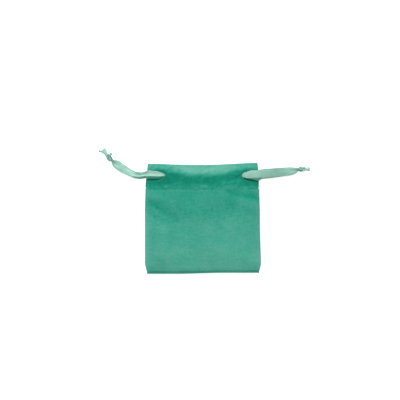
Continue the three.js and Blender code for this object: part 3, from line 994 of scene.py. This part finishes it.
# The slanted streaks on the hem.
HEM_STREAKS = (((-26, 21.8), (-15, 24.8)), ((13.5, 24), (25.5, 26)), ((-8, 23), (2, 22)))


def hem_outer(share):
    """How far the hem stands out of its middle layer at a share of the way from the stitching to the fold."""
    full = mix(HEM_AT_STITCH, HEM_FULL, smooth(0, 0.7, share))
    return full - (HEM_FULL - HEM_EDGE) * smooth(0.58, 1.04, share)


def hem_inner(share):
    """How far its inner face is from that middle layer."""
    arched = mix(0.45, 1.0, np.sin(math.pi * np.clip(share, 0, 1)) ** 0.8)
    folded = smooth(0.8, 1, share)
    return arched * (1 - folded) + HEM_EDGE * folded


def slit_hollow(across, y, side):
    """How far the slit's hollow is open at a place: 0 under the cloth, and 1 where the ribbon lies bare."""
    opened = np.clip((across - SLIT_POINT_X) / 5.6, 0, 1)
    above = 1 - smooth(0.0, 0.5, y - along_table(RIBBON_TOP[side], across))
    below = 1 - smooth(0.35, mix(1.0, 4.2, opened), along_table(RIBBON_LOW[side], across) - y)
    return above * below * smooth(SLIT_POINT_X - 0.1, SLIT_POINT_X + 0.3, across)


def hem_relief(x, y, side):
    """Creases that fan out of the slit, gathers, puckers at the stitching, slack, streaks and the pile."""
    across = np.abs(x)
    away = SLIT_POINT_X - across
    rise = y - SLIT_Y[side]
    distance = np.hypot(away, rise) + 0.3
    bearing = np.arctan2(rise, away)
    fan = 0.16 * np.cos(6 * bearing + 0.6 + side) * hump(distance, 4.5, 4.5) * smooth(-1, 0.5, away)
    gathers = 0.07 * waves(x, y, 3.4, 31, long_y=4.5) * smooth(0, 6, y - STITCH_Y)
    beside_stitches = puckers(x, y, STITCH_Y + 1.4, 2.2)
    slack = 0.2 * waves(x, y, 19, 33) * smooth(0, 5, y - STITCH_Y)
    streaks = sum(0.15 * streak(x, y, a, b, 1.0) for a, b in HEM_STREAKS)
    return fan + gathers + beside_stitches + slack + streaks + pile(x, y, 35)


def hem_shade(x, y, side):
    """Painted light and shade on the hem's pile: a pale painted highlight above the ribbon, deep painted
    shade below it and a painted shadow under it.
    """
    across = np.abs(x)
    # A pale painted highlight on the upper part, where it faces the light, and deep painted shade below.
    turn = 30.4 + 3.0 * smooth(5, 26, across)
    pale = mix(0.84, 0.64, smooth(12, 30, across))
    shade = mix(0.08, pale, smooth(-3.6, 2.8, y - turn + 0.3 * waves(x, 0 * y, 8, 75)))
    shade = shade + 0.24 * (1 - smooth(0, 5.5, y - STITCH_Y)) + 0.05 * waves(x, y, 4, 77)
    shade = shade + 0.1 * hump(x, 20, 13) * (1 - smooth(26, 30, y))
    for a, b in HEM_STREAKS:
        shade = shade + 0.15 * streak(x, y, a, b, 0.9)
    # Painted shade round the slit's point, and painted shadows under and over the ribbon.
    near = np.hypot((across - SLIT_POINT_X - 1) / 1.5, y - SLIT_Y[side])
    below = hump(y, along_table(RIBBON_LOW[side], across) - 1.0, 1.8) * smooth(26.5, 28, across)
    above = hump(y, along_table(RIBBON_TOP[side], across) + 0.9, 1.6) * smooth(26, 28, across)
    above = above * (1 - smooth(32, 38, across))
    return shade - 0.2 * hump(near, 0, 3.6) - 0.5 * below - 0.2 * above + 0.08 * hump(across, TIP_X, 1.2)


def mouth_height(x):
    """The folded edge dips in the middle, and its right corner stands higher."""
    return MOUTH_Y - 0.85 * (1 - (x / 36) ** 2) + 0.6 * smooth(0, 32, x)


def make_hem(hand):
    side = SIDES[hand]
    middle, outward = hem_contour()
    rising = np.linspace(0, 1, RISE_PLACES)
    turning = np.linspace(0, math.pi, FOLD_PLACES)[1:-1]
    share = np.concatenate([rising, np.ones(len(turning)), rising[::-1]])[None, :]
    bulge = np.concatenate([0 * rising, np.sin(turning), 0 * rising])[None, :]
    outer_part = np.concatenate([0 * rising + 1, np.cos(turning), 0 * rising - 1])[None, :]
    x = side * middle[:, 0:1] * np.ones_like(share)
    across = np.abs(x)
    y = mix(STITCH_Y, mouth_height(x) - HEM_EDGE, share) + HEM_EDGE * bulge
    depth = np.where(outer_part > 0, hem_outer(share), hem_inner(share)) * outer_part
    is_outer = (outer_part > 0.5) & np.ones_like(x, bool)
    under_fold = 1 - smooth(0.93, 1.0, share)
    relief = hem_relief(x, y, side) * mix(0.35, 1.0, under_fold)
    depth = depth + np.where(is_outer, relief, -0.08 * waves(x, y, 6, 43) * under_fold)
    # The side seam pulls the end of the hem in, and the stitching sits in a groove.
    place = np.arange(len(middle))[:, None] - (len(middle) - 1) / 2
    depth = depth - SEAM_PULL * hump(place, 0, 1.2) * (outer_part > 0)
    depth = depth - np.where(is_outer, stitch_groove(y) * 0.8, 0)
    # The hollow of the slit, in front and behind.
    facing = np.abs(outward[:, 1:2])
    height = np.abs(middle[:, 1:2] + outward[:, 1:2] * depth)
    hollow = mix(*HOLLOW_HEIGHT, smooth(SLIT_X, TIP_CENTRE_X, across))
    drop = np.clip(height - hollow, 0, None) * slit_hollow(across, y, side)
    drop = drop / np.maximum(facing, LEAST_FACING)
    depth = depth - np.where(is_outer & (facing > LEAST_FACING), drop, 0)
    reach = middle[:, 0:1] + outward[:, 0:1] * depth
    tip = TIP_X - HEM_STACK / 2 + hem_outer(share) - SEAM_PULL
    px = side * (reach + (along_table(HEM_REACH[side], y) - tip) * smooth(TIP_STRETCH_FROM, tip, reach))
    pz = MIDDLE_Z + middle[:, 1:2] + outward[:, 1:2] * depth
    px[0], px[-1] = 0.0, 0.0
    # Behind, the hem lies flat on the surface under it.
    pz = np.maximum(pz, FLOOR_GAP)
    points, faces = tube_mesh(np.stack([px, y, pz], axis=2))
    shade = hem_shade(points[:, 0], points[:, 1], side)
    piece = add_piece(f"hem_{hand}", points, faces, CLOTH_MATERIAL, shade=shade)
    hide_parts("front_hem", "back_hem", f"{hand}_mouth_corner")
    gather_hem(piece, side)
    return piece


# ---- Stitching ----

STITCH_LONG = 1.9
STITCH_PITCH = 2.4
THREAD_ROUND = 0.14
THREAD_RINGS = 7
THREAD_SIDES = 8
THREAD_RISE = 0.12
THREAD_SUNK = 0.1
# The loose ends beside the side seam: how far each is above the stitching, and how far it sticks out.
LOOSE_ENDS = ((0.1, 0.6), (2.2, 0.4), (2.6, 0.55))


def one_stitch(start, end, outward):
    """A short thread from start to end whose middle stands out."""
    share = np.linspace(0, 1, THREAD_RINGS)
    line = mix(np.array(start), np.array(end), share[:, None])
    line = line + np.array(outward) * (THREAD_RISE * np.sin(math.pi * share) - THREAD_SUNK)[:, None]
    tangent = unit(np.array(end, float) - np.array(start, float))
    up = np.array(outward, float)
    wide = np.cross(tangent, up)
    around = np.linspace(0, 2 * math.pi, THREAD_SIDES, endpoint=False)
    radius = THREAD_ROUND * np.sqrt(np.clip(1 - (2 * share - 1) ** 4, 0.12, 1))
    offsets = radius[:, None] * np.cos(around)
    rings = ring_points(line, wide[None], up[None], offsets, radius[:, None] * np.sin(around))
    return tube_mesh(rings)


def finish_stitches(name, stitches, node, gather, side):
    points, faces = joined(stitches)
    piece = add_piece(name, points, faces, THREAD_MATERIAL)
    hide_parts(node)
    gather(piece, side)
    return piece


def make_hem_stitches(hand, front):
    """Running stitches through the groove under the hem, with their loose ends at the side seam."""
    side = SIDES[hand]
    sign = 1 if front else -1
    middle, outward = hem_contour()
    half = (len(middle) + 1) // 2
    line = middle[:half] + outward[:half] * THREAD_SUNK
    along = distance_along(line)
    tip = HEM_REACH[side][0][1]
    stitches = []
    at = (STITCH_PITCH - STITCH_LONG) / 2
    while at + STITCH_LONG < along[-1] - 0.6:
        ends = []
        for place in (at, at + STITCH_LONG):
            reach, height = np.interp(place, along, line[:, 0]), np.interp(place, along, line[:, 1])
            reach = reach + (tip - TIP_X) * smooth(TIP_STRETCH_FROM, TIP_X, reach)
            ends.append((side * reach, STITCH_Y, MIDDLE_Z + sign * height))
        out = unit(np.cross(np.array(ends[1]) - np.array(ends[0]), [0, 1.0, 0]))
        stitches.append(one_stitch(*ends, out * (1 if out[2] * sign > 0 else -1)))
        at += STITCH_PITCH
    if front:
        for rise, long in LOOSE_ENDS:
            y = STITCH_Y + rise
            root = (side * (tip - 0.6), y, MIDDLE_Z + 0.4)
            stitches.append(one_stitch(root, (side * (tip + long), y + 0.2, MIDDLE_Z), (0, 0.0, 1.0)))
    layer = "front" if front else "back"
    name = f"{layer}_hem_stitches_{hand}"
    return finish_stitches(name, stitches, f"{layer}_hem_thread", gather_hem, side)


def make_side_stitches(hand):
    side = SIDES[hand]
    stitches = []
    for y in np.arange(FOOT_Y + FOOT_CORNER, STITCH_Y - STITCH_PITCH, STITCH_PITCH):
        ends = [
            (side * (float(body_reach(place, side)) - SEAM_INSET), place, float(seam_height(place)))
            for place in (y, y + STITCH_LONG)
        ]
        stitches.append(one_stitch(*ends, (side, 0, 0)))
    return finish_stitches(f"{hand}_side_stitches", stitches, f"{hand}_seam_thread", gather_body, side)


def make_foot_stitches(hand):
    side = SIDES[hand]
    stitches = []
    last = FOOT_REACH[side] - 2 * STITCH_PITCH
    for reach in np.arange((STITCH_PITCH - STITCH_LONG) / 2, last, STITCH_PITCH):
        ends = [
            (side * place, FOOT_Y + SEAM_INSET + float(foot_rise(side * place, FOOT_Y)), SEAM_LOW_Z)
            for place in (reach, reach + STITCH_LONG)
        ]
        stitches.append(one_stitch(*ends, (0, -1, 0)))
    return finish_stitches(f"foot_stitches_{hand}", stitches, "foot_seam_thread", gather_body, side)


for hand in SIDES:
    trim = [make_hem(hand), make_hem_stitches(hand, True), make_hem_stitches(hand, False)]
    trim += [make_side_stitches(hand), make_foot_stitches(hand)]
    back = make_panel(hand, front=False)
    front = make_panel(hand, front=True)

# ---- Floor and lights ----

FLOOR_REACH = 1.5
FLOOR_GLOW = 0.55
SKY_GLOW = 0.7
KEY_PLACE = (-0.1, 0.8, 0.7)
KEY_POWER = 11.0
KEY_SIZE = 0.45


def make_floor():
    mesh = bpy.data.meshes.new("floor")
    corners = [(x * FLOOR_REACH, y * FLOOR_REACH, 0) for x, y in ((-1, -1), (1, -1), (1, 1), (-1, 1))]
    mesh.from_pydata(corners, [], [(0, 1, 2, 3)])
    floor = bpy.data.objects.new("floor", mesh)
    bpy.context.scene.collection.objects.link(floor)
    material, _, _, shader = new_material("pale_floor")
    set_look(shader, {"Base Color": (0.85, 0.85, 0.85, 1), "Roughness": 0.9, "Specular IOR Level": 0.1})
    set_look(shader, {"Emission Color": (1, 1, 1, 1), "Emission Strength": FLOOR_GLOW})
    mesh.materials.append(material)


def add_lights():
    world = bpy.data.worlds.new("studio")
    world.use_nodes = True
    set_look(world.node_tree.nodes["Background"], {"Color": (1, 1, 1, 1), "Strength": SKY_GLOW})
    bpy.context.scene.world = world
    data = bpy.data.lights.new("key", "AREA")
    data.energy = KEY_POWER
    data.size = KEY_SIZE
    key = bpy.data.objects.new("key", data)
    key.location = KEY_PLACE
    key.rotation_euler = (-Vector(KEY_PLACE)).to_track_quat("-Z", "Y").to_euler()
    bpy.context.scene.collection.objects.link(key)
    bpy.context.scene.view_settings.view_transform = "Standard"


make_floor()
add_lights()
